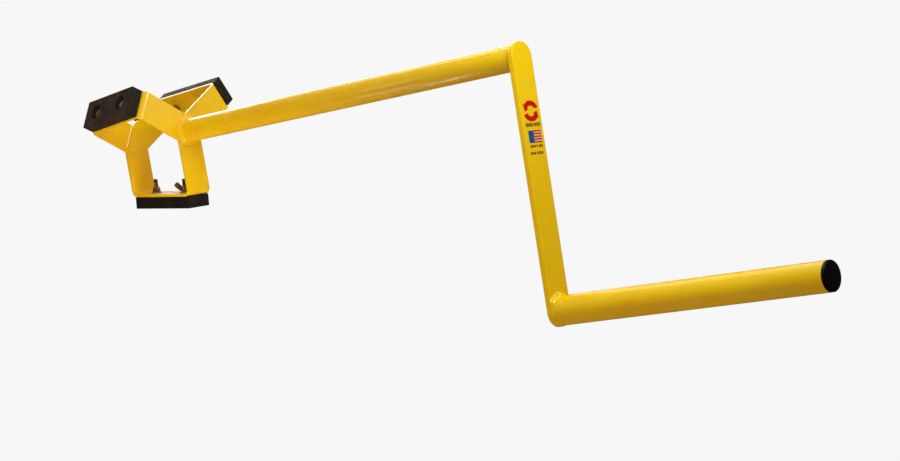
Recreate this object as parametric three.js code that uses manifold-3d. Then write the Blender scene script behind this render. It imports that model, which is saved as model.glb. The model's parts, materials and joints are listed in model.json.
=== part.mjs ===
// A hand crank with a three-armed padded head, for gripping the inside of a round bore and turning it.
//
// Frame: millimetres, +Z up. The origin is the centre of the head's nose face. +X runs along the spindle
// from the nose towards the handle, and the crank arm hangs towards -Z.
//
// The head is three U brackets bent from flat bar. Their legs meet in a three-armed star at each end, and
// their webs carry the rubber pads. Every bracket has its own group, turned about X, in which +Z points
// radially outwards. The web leans, so what is bolted to it sits in a second group, the seat, whose +Z is
// the web's outward normal and whose origin is the middle of the web's outer face.

import * as THREE from 'three';
import { mergeVertices } from 'three/addons/utils/BufferGeometryUtils.js';
import Module from 'manifold-3d';

const wasm = await Module();
wasm.setup();

// Flat bar and head
const STRIP_WIDTH = 50.8;
const STRIP_THICKNESS = 4.76;
const BEND_RADIUS = 11;
const HEAD_LENGTH = 140;
const NOSE_RADIUS = 94;
const REAR_RADIUS = 111.7;
const HEAD_TURN = 2.2;
// Degrees from +Y towards +Z. The head is welded on a little turned from the line of the crank arm.
const BRACKET_ANGLES = [30, 150, 270].map((degrees) => degrees + HEAD_TURN);

// Rubber pads
const PAD_LENGTH = 131.5;
const PAD_WIDTH = 48.5;
const PAD_THICKNESS = 20;
const PAD_CORNER_RADIUS = 1.5;
const BOLT_SPACING = 71.2;
const COUNTERBORE_RADIUS = 12.5;
const COUNTERBORE_DEPTH = 13;

// Fasteners, 5/16-18 UNC
const BOLT_RADIUS = 3.97;
const BOLT_LENGTH = 38.1;
const BOLT_CHAMFER = 1;
const BOLT_HEAD_HEIGHT = 5.4;
const BOLT_HEAD_ACROSS_FLATS = 12.7;
const BOLT_HOLE_RADIUS = 4.4;
const WASHER_RADIUS = 8.7;
const WASHER_THICKNESS = 1.6;
const NUT_BORE_RADIUS = 4.3;
const NUT_HUB_RADIUS = 7;
const NUT_HUB_TOP_RADIUS = 5.8;
const NUT_HUB_HEIGHT = 9.5;
const WING_SPAN = 38;
const WING_RISE = 17.5;
const WING_THICKNESS = 3.6;
const WING_TIP_WIDTH = 6.5;
const WING_TIP_RADIUS = 2.5;
// Degrees that the wings of each bracket's nuts stand turned from the line of the bolts
const WING_TURNS = { nose: [20, 10, -50], rear: [158, 88, 40] };

// Spindle, crank arm and handle
const SPINDLE_RADIUS = 20;
const SPINDLE_LENGTH = 729;
const TUBE_WALL = 3.5;
const ARM_WIDTH = 47.5;
const ARM_THICKNESS = 9;
const ARM_THROW = 386;
const ARM_EDGE_BREAK = 0.7;
const HANDLE_RADIUS = 22.6;
const HANDLE_LENGTH = 470;
const PLUG_STEM_LENGTH = 20;
const PLUG_HEAD_THICKNESS = 6;
const PLUG_EDGE_RADIUS = 2.5;

// Vinyl labels on the front of the arm, [top, bottom] below the spindle's axis
const LABEL_WIDTH = 40;
const LABEL_THICKNESS = 0.25;
const LABEL_CORNER_RADIUS = 3;
const LABEL_SPANS = { upper_label: [63, 109], lower_label: [111, 153] };

// Weld beads
const HEAD_WELD_LEG = 7;
const ARM_WELD_LEG = 3.4;
const HANDLE_WELD_LEG = 6.5;
const SEAM_WIDTH = 4.8;
const SEAM_HEIGHT = 1.6;

// Gaps that keep touching pieces apart
const SEAT_GAP = 0.3;
const BUTT_GAP = 0.15;

const ROUND_SEGMENTS = 48;
const SMALL_SEGMENTS = 18;

const STAR_APOTHEM = STRIP_WIDTH / (2 * Math.sqrt(3));
const WEB_LEAN = Math.atan2(REAR_RADIUS - NOSE_RADIUS, HEAD_LENGTH);
const WEB_MIDDLE_RADIUS = (NOSE_RADIUS + REAR_RADIUS) / 2;
const ARM_BACK = HEAD_LENGTH + SPINDLE_LENGTH + BUTT_GAP;
const ARM_FRONT = ARM_BACK + ARM_THICKNESS;

// The flat of the web lies a little nearer the nose than the middle of its outer face does, because the
// nose bend is the blunter of the two. The bolts straddle the middle of the flat.
const FLAT_SHIFT = (BEND_RADIUS / 2)
  * (Math.tan(Math.PI / 4 - WEB_LEAN / 2) - Math.tan(Math.PI / 4 + WEB_LEAN / 2));
const STATIONS = { nose: FLAT_SHIFT - BOLT_SPACING / 2, rear: FLAT_SHIFT + BOLT_SPACING / 2 };

const materials = {
  powder_coat: { color: 0xf3b60f, roughness: 0.3, metalness: 0 },
  rubber: { color: 0x2b2523, roughness: 0.75, metalness: 0 },
  zinc_steel: { color: 0xa9a9a2, roughness: 0.4, metalness: 1 },
  bronze_zinc: { color: 0x8a5a24, roughness: 0.4, metalness: 1 },
  label_film: { color: 0xf0bb20, roughness: 0.2, metalness: 0 },
  black_plastic: { color: 0x0d0c0b, roughness: 0.45, metalness: 0 },
};

// ---------------------------------------------------------------- solids and meshes

function toSolid(geometry) {
  geometry.deleteAttribute('normal');
  geometry.deleteAttribute('uv');
  const merged = mergeVertices(geometry, 1e-4);
  const corners = merged.index.array;
  const triangles = [];
  for (let i = 0; i < corners.length; i += 3) {
    const [a, b, c] = [corners[i], corners[i + 1], corners[i + 2]];
    if (a !== b && b !== c && c !== a) triangles.push(a, b, c);
  }
  return new wasm.Manifold(new wasm.Mesh({
    numProp: 3,
    vertProperties: merged.attributes.position.array,
    triVerts: new Uint32Array(triangles),
  }));
}

function toMesh(name, solid, material) {
  const { vertProperties, triVerts } = solid.getMesh();
  const geometry = new THREE.BufferGeometry();
  geometry.setAttribute('position', new THREE.BufferAttribute(vertProperties, 3));
  geometry.setIndex(new THREE.BufferAttribute(triVerts, 1));
  geometry.computeVertexNormals();
  const mesh = new THREE.Mesh(geometry, new THREE.MeshStandardMaterial(materials[material]));
  mesh.name = name;
  return mesh;
}

// ---------------------------------------------------------------- shapes

// An outline through corners [x, y, radius], each rounded by an arc of its radius.
function roundedOutline(corners, OutlineClass = THREE.Shape) {
  const outline = new OutlineClass();
  const points = corners.map(([x, y]) => new THREE.Vector2(x, y));
  corners.forEach(([, , radius], i) => {
    const here = points[i];
    const before = points.at(i - 1).clone().sub(here).normalize();
    const after = points[(i + 1) % points.length].clone().sub(here).normalize();
    if (!radius) {
      if (i) outline.lineTo(here.x, here.y);
      else outline.moveTo(here.x, here.y);
      return;
    }
    const half = Math.acos(before.dot(after)) / 2;
    const start = here.clone().addScaledVector(before, radius / Math.tan(half));
    const end = here.clone().addScaledVector(after, radius / Math.tan(half));
    const middle = before.clone().add(after).normalize();
    const centre = here.clone().addScaledVector(middle, radius / Math.sin(half));
    const clockwise = before.cross(after) > 0;
    const from = start.sub(centre).angle();
    const to = end.sub(centre).angle();
    outline.absarc(centre.x, centre.y, radius, from, to, clockwise);
  });
  outline.closePath();
  return outline;
}

// An equilateral triangle about the origin, with its sides facing the three brackets.
function starTriangle(apothem, cornerRadius, OutlineClass) {
  const corners = BRACKET_ANGLES.map((degrees) => {
    const angle = THREE.MathUtils.degToRad(degrees + 60);
    return [2 * apothem * Math.cos(angle), 2 * apothem * Math.sin(angle), cornerRadius];
  });
  return roundedOutline(corners, OutlineClass);
}

// Turns a shape drawn in Y and Z, and extruded, so that its depth runs along +X from x.
function alongX(geometry, x) {
  const basis = new THREE.Matrix4().makeBasis(
    new THREE.Vector3(0, 1, 0), new THREE.Vector3(0, 0, 1), new THREE.Vector3(1, 0, 0));
  return geometry.applyMatrix4(basis).translate(x, 0, 0);
}

// A body of revolution about X from a closed or axis-to-axis profile of [x, radius] points.
function turnedAlongX(profile, segments) {
  const points = profile.map(([x, radius]) => new THREE.Vector2(radius, x));
  return new THREE.LatheGeometry(points, segments).rotateZ(-Math.PI / 2);
}

// A body of revolution about Z from a closed or axis-to-axis profile of [radius, z] points.
function turnedAlongZ(profile, segments) {
  const points = profile.map(([radius, z]) => new THREE.Vector2(radius, z));
  return new THREE.LatheGeometry(points, segments).rotateX(Math.PI / 2);
}

function ringProfile(low, high, inner, outer) {
  return [[low, inner], [low, outer], [high, outer], [high, inner], [low, inner]];
}

function cylinderAlongZ(radius, low, high, segments = SMALL_SEGMENTS) {
  const geometry = new THREE.CylinderGeometry(radius, radius, high - low, segments);
  return geometry.rotateX(Math.PI / 2).translate(0, 0, (low + high) / 2);
}

// ---------------------------------------------------------------- head

function seatMatrix() {
  return new THREE.Matrix4()
    .makeTranslation(HEAD_LENGTH / 2, 0, WEB_MIDDLE_RADIUS)
    .multiply(new THREE.Matrix4().makeRotationY(-WEB_LEAN));
}

function headBracket() {
  const t = STRIP_THICKNESS;
  const foot = STAR_APOTHEM + BUTT_GAP;
  const drop = t / Math.cos(WEB_LEAN);
  const rise = t * Math.tan(WEB_LEAN);
  const inner = BEND_RADIUS - t;
  const profile = roundedOutline([
    [0, foot, 0],
    [t, foot, 0],
    [t, NOSE_RADIUS + rise - drop, inner],
    [HEAD_LENGTH - t, REAR_RADIUS - rise - drop, inner],
    [HEAD_LENGTH - t, foot, 0],
    [HEAD_LENGTH, foot, 0],
    [HEAD_LENGTH, REAR_RADIUS, BEND_RADIUS],
    [0, NOSE_RADIUS, BEND_RADIUS],
  ]);
  const strip = new THREE.ExtrudeGeometry(profile, {
    depth: STRIP_WIDTH, bevelEnabled: false, curveSegments: 6,
  });
  let solid = toSolid(strip.rotateX(Math.PI / 2).translate(0, STRIP_WIDTH / 2, 0));
  for (const along of Object.values(STATIONS)) {
    const drill = cylinderAlongZ(BOLT_HOLE_RADIUS, -2 * t, t).translate(along, 0, 0);
    solid = solid.subtract(toSolid(drill.applyMatrix4(seatMatrix())));
  }
  return solid;
}

function centrePlate(x) {
  const outline = starTriangle(STAR_APOTHEM - BUTT_GAP, 0);
  const plate = new THREE.ExtrudeGeometry(outline, { depth: STRIP_THICKNESS, bevelEnabled: false });
  return toSolid(alongX(plate, x));
}

// The bead over the three seams of a star, on the face at x, standing out in the direction side.
function seamBead(x, side) {
  const crown = SEAM_HEIGHT / 2;
  const outline = starTriangle(STAR_APOTHEM + SEAM_WIDTH / 2 - crown, SEAM_WIDTH - crown);
  outline.holes.push(starTriangle(STAR_APOTHEM - SEAM_WIDTH / 2 + crown, 0, THREE.Path));
  const bead = new THREE.ExtrudeGeometry(outline, {
    depth: SEAM_HEIGHT, bevelSize: crown, bevelThickness: crown, bevelSegments: 2, curveSegments: 4,
  });
  const shaped = toSolid(alongX(bead, side > 0 ? x - crown : x - SEAM_HEIGHT + crown));
  const face = x + side * BUTT_GAP;
  const keep = new THREE.BoxGeometry(SEAM_HEIGHT * 4, STRIP_WIDTH * 2, STRIP_WIDTH * 2);
  return shaped.intersect(toSolid(keep.translate(face + side * SEAM_HEIGHT * 2, 0, 0)));
}

function pad() {
  const [w, h] = [PAD_LENGTH / 2, PAD_WIDTH / 2];
  const r = PAD_CORNER_RADIUS;
  const outline = roundedOutline([[-w, -h, r], [w, -h, r], [w, h, r], [-w, h, r]]);
  const block = new THREE.ExtrudeGeometry(outline, {
    depth: PAD_THICKNESS, bevelEnabled: false, curveSegments: 2,
  });
  let solid = toSolid(block.translate(0, 0, SEAT_GAP));
  const floor = SEAT_GAP + PAD_THICKNESS - COUNTERBORE_DEPTH;
  for (const along of Object.values(STATIONS)) {
    const hole = cylinderAlongZ(BOLT_HOLE_RADIUS, -1, PAD_THICKNESS);
    const recess = cylinderAlongZ(COUNTERBORE_RADIUS, floor, PAD_THICKNESS * 2, 2 * SMALL_SEGMENTS);
    solid = solid.subtract(toSolid(hole.translate(along, 0, 0)));
    solid = solid.subtract(toSolid(recess.translate(along, 0, 0)));
  }
  return solid;
}

// ---------------------------------------------------------------- fasteners, about Z

function washer() {
  const profile = [
    [BOLT_HOLE_RADIUS, 0], [WASHER_RADIUS, 0], [WASHER_RADIUS, WASHER_THICKNESS],
    [BOLT_HOLE_RADIUS, WASHER_THICKNESS], [BOLT_HOLE_RADIUS, 0],
  ];
  return toSolid(turnedAlongZ(profile, SMALL_SEGMENTS));
}

// The head stands on z = 0 and the shank hangs below it.
function bolt() {
  const shank = turnedAlongZ([
    [0, -BOLT_LENGTH], [BOLT_RADIUS - BOLT_CHAMFER, -BOLT_LENGTH],
    [BOLT_RADIUS, -BOLT_LENGTH + BOLT_CHAMFER], [BOLT_RADIUS, BOLT_HEAD_HEIGHT / 2],
    [0, BOLT_HEAD_HEIGHT / 2],
  ], SMALL_SEGMENTS);
  const cornerRadius = BOLT_HEAD_ACROSS_FLATS / 2 / Math.cos(Math.PI / 6);
  const head = cylinderAlongZ(cornerRadius, 0, BOLT_HEAD_HEIGHT, 6);
  return toSolid(shank).add(toSolid(head));
}

// The nut stands on z = 0 with its wings rising to either side of X.
function wingNut() {
  const hub = toSolid(turnedAlongZ([
    [0, 0], [NUT_HUB_RADIUS, 0], [NUT_HUB_TOP_RADIUS, NUT_HUB_HEIGHT], [0, NUT_HUB_HEIGHT],
  ], SMALL_SEGMENTS));
  const reach = WING_SPAN / 2;
  const outline = roundedOutline([
    [NUT_BORE_RADIUS, 1, 0],
    [NUT_HUB_RADIUS + 1, 1, 4],
    [reach, WING_RISE - WING_TIP_WIDTH, WING_TIP_RADIUS],
    [reach - WING_TIP_WIDTH, WING_RISE, WING_TIP_RADIUS],
    [NUT_BORE_RADIUS, NUT_HUB_HEIGHT - 1, 0],
  ]);
  const wing = new THREE.ExtrudeGeometry(outline, {
    depth: WING_THICKNESS, bevelEnabled: false, curveSegments: 3,
  });
  wing.rotateX(Math.PI / 2).translate(0, WING_THICKNESS / 2, 0);
  const bore = cylinderAlongZ(NUT_BORE_RADIUS, -1, WING_RISE + 1);
  return hub
    .add(toSolid(wing.clone()))
    .add(toSolid(wing.clone().rotateZ(Math.PI)))
    .subtract(toSolid(bore));
}

// ---------------------------------------------------------------- crank

function tube(start, length, radius) {
  return toSolid(turnedAlongX(
    ringProfile(start, start + length, radius - TUBE_WALL, radius), ROUND_SEGMENTS));
}

// A convex fillet bead round a tube, on the plane at x, standing out towards side.
function filletBead(x, side, radius, leg) {
  const steps = 3;
  const inner = radius + BUTT_GAP;
  const face = x + side * BUTT_GAP;
  const curve = [];
  for (let i = 0; i <= steps; i += 1) {
    const angle = (i / steps) * Math.PI / 2;
    const bulge = leg * (1 - 0.12 * Math.sin(2 * angle));
    curve.push([face + side * bulge * Math.sin(angle), inner + bulge * Math.cos(angle)]);
  }
  const profile = [[face, inner], ...curve];
  if (side < 0) profile.reverse();
  profile.push(profile[0]);
  return toSolid(turnedAlongX(profile, ROUND_SEGMENTS));
}

function armOutline() {
  const outline = new THREE.Shape();
  const r = ARM_WIDTH / 2 - ARM_EDGE_BREAK;
  outline.absarc(0, 0, r, 0, Math.PI, false);
  outline.absarc(0, -ARM_THROW, r, Math.PI, 2 * Math.PI, false);
  outline.closePath();
  return outline;
}

function armPrism(start, depth) {
  const bar = new THREE.ExtrudeGeometry(armOutline(), {
    depth: depth - 2 * ARM_EDGE_BREAK, curveSegments: 18,
    bevelSize: ARM_EDGE_BREAK, bevelThickness: ARM_EDGE_BREAK, bevelSegments: 1,
  });
  return toSolid(alongX(bar, start + ARM_EDGE_BREAK));
}

// The handle's bead would run out over the edges of the arm, so it is trimmed to the arm's outline.
function handleBead() {
  const bead = filletBead(ARM_FRONT, 1, HANDLE_RADIUS, HANDLE_WELD_LEG);
  const trim = armPrism(ARM_FRONT - ARM_THICKNESS, 3 * ARM_THICKNESS).translate([0, 0, ARM_THROW]);
  return bead.intersect(trim);
}

function label([top, bottom]) {
  const w = LABEL_WIDTH / 2;
  const r = LABEL_CORNER_RADIUS;
  const outline = roundedOutline([[-w, -bottom, r], [w, -bottom, r], [w, -top, r], [-w, -top, r]]);
  const film = new THREE.ExtrudeGeometry(outline, {
    depth: LABEL_THICKNESS, bevelEnabled: false, curveSegments: 3,
  });
  return toSolid(alongX(film, ARM_FRONT + BUTT_GAP));
}

function plug() {
  const end = ARM_FRONT + BUTT_GAP + HANDLE_LENGTH;
  const stem = HANDLE_RADIUS - TUBE_WALL - SEAT_GAP;
  const seat = end + BUTT_GAP;
  const face = seat + PLUG_HEAD_THICKNESS;
  const profile = [[end - PLUG_STEM_LENGTH, 0], [end - PLUG_STEM_LENGTH, stem], [seat, stem]];
  profile.push([seat, HANDLE_RADIUS]);
  const steps = 3;
  for (let i = 0; i <= steps; i += 1) {
    const angle = (i / steps) * Math.PI / 2;
    profile.push([
      face - PLUG_EDGE_RADIUS * (1 - Math.sin(angle)),
      HANDLE_RADIUS - PLUG_EDGE_RADIUS * (1 - Math.cos(angle)),
    ]);
  }
  profile.push([face, 0]);
  return toSolid(turnedAlongX(profile, ROUND_SEGMENTS));
}

// ---------------------------------------------------------------- assembly

const group = new THREE.Group();

BRACKET_ANGLES.forEach((degrees, index) => {
  const number = index + 1;
  const bracket = new THREE.Group();
  bracket.rotation.x = THREE.MathUtils.degToRad(degrees - 90);
  group.add(bracket);
  bracket.add(toMesh(`head_bracket_${number}`, headBracket(), 'powder_coat'));

  const seat = new THREE.Group();
  seat.applyMatrix4(seatMatrix());
  bracket.add(seat);
  seat.add(toMesh(`rubber_pad_${number}`, pad(), 'rubber'));

  for (const [station, along] of Object.entries(STATIONS)) {
    const label = `${number}_${station}`;
    const recessFloor = SEAT_GAP + PAD_THICKNESS - COUNTERBORE_DEPTH;
    const headWasher = toMesh(`head_washer_${label}`, washer(), 'zinc_steel');
    headWasher.position.set(along, 0, recessFloor + SEAT_GAP);
    const padBolt = toMesh(`pad_bolt_${label}`, bolt(), 'zinc_steel');
    padBolt.position.set(along, 0, recessFloor + WASHER_THICKNESS + 2 * SEAT_GAP);
    const nutWasher = toMesh(`nut_washer_${label}`, washer(), 'zinc_steel');
    nutWasher.position.set(along, 0, -STRIP_THICKNESS - SEAT_GAP - WASHER_THICKNESS);
    const nut = toMesh(`wing_nut_${label}`, wingNut(), 'bronze_zinc');
    nut.position.set(along, 0, -STRIP_THICKNESS - WASHER_THICKNESS - 2 * SEAT_GAP);
    nut.rotation.set(Math.PI, 0, THREE.MathUtils.degToRad(WING_TURNS[station][index]));
    seat.add(headWasher, padBolt, nutWasher, nut);
  }
});

const rearFace = HEAD_LENGTH - STRIP_THICKNESS;
const spindle = tube(HEAD_LENGTH + BUTT_GAP, SPINDLE_LENGTH - BUTT_GAP, SPINDLE_RADIUS);
group.add(
  toMesh('nose_centre_plate', centrePlate(0), 'powder_coat'),
  toMesh('rear_centre_plate', centrePlate(rearFace), 'powder_coat'),
  toMesh('nose_seam_weld', seamBead(STRIP_THICKNESS, 1), 'powder_coat'),
  toMesh('rear_seam_weld', seamBead(rearFace, -1), 'powder_coat'),
  toMesh('spindle_tube', spindle, 'powder_coat'),
  toMesh('spindle_head_weld', filletBead(HEAD_LENGTH, 1, SPINDLE_RADIUS, HEAD_WELD_LEG), 'powder_coat'),
  toMesh('spindle_arm_weld', filletBead(ARM_BACK, -1, SPINDLE_RADIUS, ARM_WELD_LEG), 'powder_coat'),
  toMesh('crank_arm', armPrism(ARM_BACK, ARM_THICKNESS), 'powder_coat'),
);

for (const [name, span] of Object.entries(LABEL_SPANS)) {
  group.add(toMesh(name, label(span), 'label_film'));
}

// What is on the handle's axis
const handle = new THREE.Group();
handle.position.z = -ARM_THROW;
handle.add(
  toMesh('handle_arm_weld', handleBead(), 'powder_coat'),
  toMesh('handle_tube', tube(ARM_FRONT + BUTT_GAP, HANDLE_LENGTH, HANDLE_RADIUS), 'powder_coat'),
  toMesh('handle_end_plug', plug(), 'black_plastic'),
);
group.add(handle);

export default group;
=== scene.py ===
import json
import math

import bmesh
import bpy
from mathutils import Matrix, Vector


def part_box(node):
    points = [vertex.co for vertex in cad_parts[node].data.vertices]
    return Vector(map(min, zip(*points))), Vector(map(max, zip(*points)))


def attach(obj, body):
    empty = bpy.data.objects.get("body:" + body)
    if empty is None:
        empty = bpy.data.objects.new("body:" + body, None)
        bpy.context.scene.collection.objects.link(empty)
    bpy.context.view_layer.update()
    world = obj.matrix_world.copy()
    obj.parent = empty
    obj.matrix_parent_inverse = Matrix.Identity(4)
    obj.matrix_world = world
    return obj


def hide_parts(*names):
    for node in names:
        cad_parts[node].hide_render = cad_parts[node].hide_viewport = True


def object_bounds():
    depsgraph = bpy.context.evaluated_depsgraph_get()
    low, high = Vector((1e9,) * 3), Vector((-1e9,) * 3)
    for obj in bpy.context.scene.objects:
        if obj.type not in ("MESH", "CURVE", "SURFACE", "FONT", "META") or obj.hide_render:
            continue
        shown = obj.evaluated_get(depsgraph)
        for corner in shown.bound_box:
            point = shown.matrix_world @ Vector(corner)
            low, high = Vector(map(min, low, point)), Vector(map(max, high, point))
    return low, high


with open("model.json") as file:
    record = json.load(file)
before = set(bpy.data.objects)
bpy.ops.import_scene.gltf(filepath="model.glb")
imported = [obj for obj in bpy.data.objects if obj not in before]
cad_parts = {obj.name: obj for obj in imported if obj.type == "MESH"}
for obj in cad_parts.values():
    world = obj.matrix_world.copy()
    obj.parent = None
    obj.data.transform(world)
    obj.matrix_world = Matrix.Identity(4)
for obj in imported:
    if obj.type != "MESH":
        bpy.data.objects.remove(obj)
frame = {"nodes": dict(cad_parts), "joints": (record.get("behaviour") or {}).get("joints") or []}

# A yellow hand crank with a three-armed padded head, in metres. +X runs along the spindle from the nose
# of the head to the handle, and the crank arm hangs towards -Z.

CAD_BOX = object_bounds()
MM = 0.001
TURN = 2 * math.pi
X_AXIS = Vector((1, 0, 0))
ALONG_X = Matrix(((0, 0, 1, 0), (1, 0, 0, 0), (0, 1, 0, 0), (0, 0, 0, 1)))

# Head, the same sizes as in the frame
BRACKETS = (1, 2, 3)
STATIONS = ("nose", "rear")
STRIP_WIDTH = 50.8 * MM
BEND_RADIUS = 11 * MM
STRIP_EDGE = 0.9 * MM
PAD_LENGTH = 131.5 * MM
PAD_WIDTH = 48.5 * MM
PAD_CORNER = 1.2 * MM
PAD_EDGE = 0.7 * MM
COUNTERBORE_RADIUS = 12.5 * MM
COUNTERBORE_DEPTH = 13 * MM
STAR_APOTHEM = STRIP_WIDTH / (2 * math.sqrt(3))

# Fasteners, 5/16-18 UNC
BOLT_RADIUS = 3.93 * MM
BOLT_LENGTH = 38.1 * MM
THREAD_PITCH = 25.4 / 18 * MM
THREAD_DEPTH = 0.8 * MM
THREADED_LENGTH = 29 * MM
BOLT_HOLE_RADIUS = 4.4 * MM
HEAD_APOTHEM = 6.35 * MM
HEAD_HEIGHT = 5.4 * MM
WASHER_RADIUS = 8.7 * MM
WASHER_THICKNESS = 1.6 * MM

# Tubes, and prints on the arm's front
TUBE_WALL = 3.5 * MM
FILM_THICKNESS = 0.08 * MM
PRINT_GAP = 0.01 * MM
PRINT_THICKNESS = 0.04 * MM


# ------------------------------------------------------------------ meshes

WELD_DISTANCE = 0.0005 * MM


def loft(rings, closed=False):
    """Vertices and faces of the skin over rings of points: a solid with flat ends, or a closed loop."""
    count = len(rings[0])
    spans = len(rings) if closed else len(rings) - 1
    verts = [tuple(p) for ring in rings for p in ring]
    faces = []
    for i in range(spans):
        here, there = i * count, (i + 1) % len(rings) * count
        for j in range(count):
            k = (j + 1) % count
            faces.append((here + j, here + k, there + k, there + j))
    if not closed:
        faces.append(tuple(reversed(range(count))))
        faces.append(tuple(range(len(verts) - count, len(verts))))
    return verts, faces


def mesh_of(name, skin, matrix=None, sharp=40):
    """A smooth-shaded mesh with its faces outwards and sharp edges above an angle in degrees."""
    verts, faces = skin
    mesh = bpy.data.meshes.new(name)
    mesh.from_pydata(verts, [], faces)
    if matrix is not None:
        mesh.transform(matrix)
    face_outwards(mesh, WELD_DISTANCE)
    finish_shading(mesh, sharp)
    return mesh


def face_outwards(mesh, weld_distance=0.0):
    """Turns all faces outwards, and joins vertices that are nearer than weld_distance."""
    work = bmesh.new()
    work.from_mesh(mesh)
    if weld_distance:
        bmesh.ops.remove_doubles(work, verts=work.verts, dist=weld_distance)
    bmesh.ops.recalc_face_normals(work, faces=work.faces)
    work.to_mesh(mesh)
    work.free()


def finish_shading(mesh, sharp):
    mesh.shade_smooth()
    mesh.set_sharp_from_angle(angle=math.radians(sharp))


def evaluated(name, mesh, modifiers):
    """A new mesh: this one with modifiers, given as (type, settings) pairs, applied in order."""
    worker = bpy.data.objects.new(name, mesh)
    bpy.context.scene.collection.objects.link(worker)
    for kind, settings in modifiers:
        modifier = worker.modifiers.new(kind, kind)
        for key, value in settings.items():
            setattr(modifier, key, value)
    bpy.context.view_layer.update()
    graph = bpy.context.evaluated_depsgraph_get()
    result = bpy.data.meshes.new_from_object(worker.evaluated_get(graph))
    bpy.data.objects.remove(worker)
    result.name = name
    return result


def cut(name, mesh, cutters, sharp=40):
    """The mesh less each cutter mesh."""
    for index, cutter in enumerate(cutters):
        tool = bpy.data.objects.new(f"{name}_cutter_{index}", cutter)
        bpy.context.scene.collection.objects.link(tool)
        settings = {"operation": "DIFFERENCE", "solver": "EXACT", "object": tool}
        mesh = evaluated(name, mesh, [("BOOLEAN", settings)])
        bpy.data.objects.remove(tool)
    finish_shading(mesh, sharp)
    return mesh


def piece(name, mesh, material, nodes, body="root", matrix=None, weighted=True):
    """A shown piece that stands for CAD nodes and rides on a body."""
    obj = bpy.data.objects.new(name, mesh)
    bpy.context.scene.collection.objects.link(obj)
    if matrix is not None:
        obj.matrix_world = matrix
    if not mesh.materials:
        mesh.materials.append(material)
    if weighted:
        obj.modifiers.new("weighted_normals", "WEIGHTED_NORMAL").keep_sharp = True
    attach(obj, body)
    if nodes:
        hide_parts(*nodes)
    return obj


def circle(radius, z, steps):
    return [
        Vector((radius * math.cos(a), radius * math.sin(a), z))
        for a in (TURN * i / steps for i in range(steps))
    ]


def spun_solid(profile, steps=48):
    """A solid turned about Z through (radius, z) points, with flat ends."""
    return loft([circle(r, z, steps) for r, z in profile])


def spun_ring(profile, steps=96):
    """A ring turned about Z from a closed profile of (radius, z) points."""
    rings = []
    for i in range(steps):
        a = TURN * i / steps
        rings.append([Vector((r * math.cos(a), r * math.sin(a), z)) for r, z in profile])
    return loft(rings, closed=True)


def rounded_corner(centre, radius, start, end, steps=4):
    """Points of an arc between two angles in degrees."""
    angles = [math.radians(start + (end - start) * i / steps) for i in range(steps + 1)]
    return [(centre[0] + radius * math.cos(a), centre[1] + radius * math.sin(a)) for a in angles]


def rounded_rectangle(low, high, radius, steps=4):
    """An anticlockwise outline with round corners."""
    left, bottom = low[0] + radius, low[1] + radius
    right, top = high[0] - radius, high[1] - radius
    points = []
    for centre, start in (
        ((right, bottom), -90), ((right, top), 0), ((left, top), 90), ((left, bottom), 180),
    ):
        points += rounded_corner(centre, radius, start, start + 90, steps)
    return points


def edge_steps(radius, steps=3):
    """(inset, depth) pairs that round an edge over from a plate's face to its side."""
    angles = [math.pi / 2 * i / steps for i in range(steps + 1)]
    return [(radius * (1 - math.sin(a)), radius * (1 - math.cos(a))) for a in angles]


def slab(outline_at, low, high, edge):
    """A plate between two heights with rounded edges, over outline_at(inset), a list of (x, y) points."""
    levels = [(inset, low + depth) for inset, depth in edge_steps(edge)]
    levels += [(inset, high - depth) for inset, depth in reversed(edge_steps(edge))]
    return loft([[Vector((x, y, z)) for x, y in outline_at(inset)] for inset, z in levels])


def thin_plate(outline, low, thickness):
    """A sharp-edged plate from a height upwards, over a list of (x, y) points."""
    return loft([[Vector((x, y, z)) for x, y in outline] for z in (low, low + thickness)])


# ------------------------------------------------------------------ where things are


class Bracket:
    """The frames of one U bracket: its own, with +Z radially outwards, and that of its pad's seat."""

    def __init__(self, number):
        self.number = number
        nose, rear = (self.nut_joint(station) for station in STATIONS)
        outward = -Vector(nose["axis"])
        nose, rear = Vector(nose["pos_m"]), Vector(rear["pos_m"])
        radial = Vector((0, outward.y, outward.z)).normalized()
        self.facing = Vector((radial.y, radial.z))
        self.matrix = self.frame_of(X_AXIS, radial, Vector((0, 0, 0)))
        along = (rear - nose).normalized()
        nose_on_outside = nose + outward * STRIP_THICKNESS
        middle = nose_on_outside + along * ((HEAD_LENGTH / 2 - nose_on_outside.x) / along.x)
        self.seat = self.frame_of(along, outward, middle)
        self.lean = math.asin(-outward.x)
        rise = HEAD_LENGTH / 2 * math.tan(self.lean)
        self.nose_radius, self.rear_radius = middle.dot(radial) - rise, middle.dot(radial) + rise
        self.stations = {"nose": (nose - middle).dot(along), "rear": (rear - middle).dot(along)}

    def bolt_places(self):
        """The frames on the seat round which the nose bolt and the rear bolt stand."""
        return [self.seat @ Matrix.Translation((along, 0, 0)) for along in self.stations.values()]

    def nut_joint(self, station):
        name = f"wing_nut_spin_{self.number}_{station}"
        return next(joint for joint in frame["joints"] if joint["name"] == name)

    @staticmethod
    def frame_of(x_axis, z_axis, origin):
        turned = Matrix((x_axis, z_axis.cross(x_axis), z_axis)).transposed().to_4x4()
        return Matrix.Translation(origin) @ turned


def cad_height(node, place, highest=False):
    """The lowest or highest point of a CAD node along the Z of a place."""
    inverse = place.inverted()
    heights = [(inverse @ v.co).z for v in frame["nodes"][node].data.vertices]
    return max(heights) if highest else min(heights)


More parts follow.
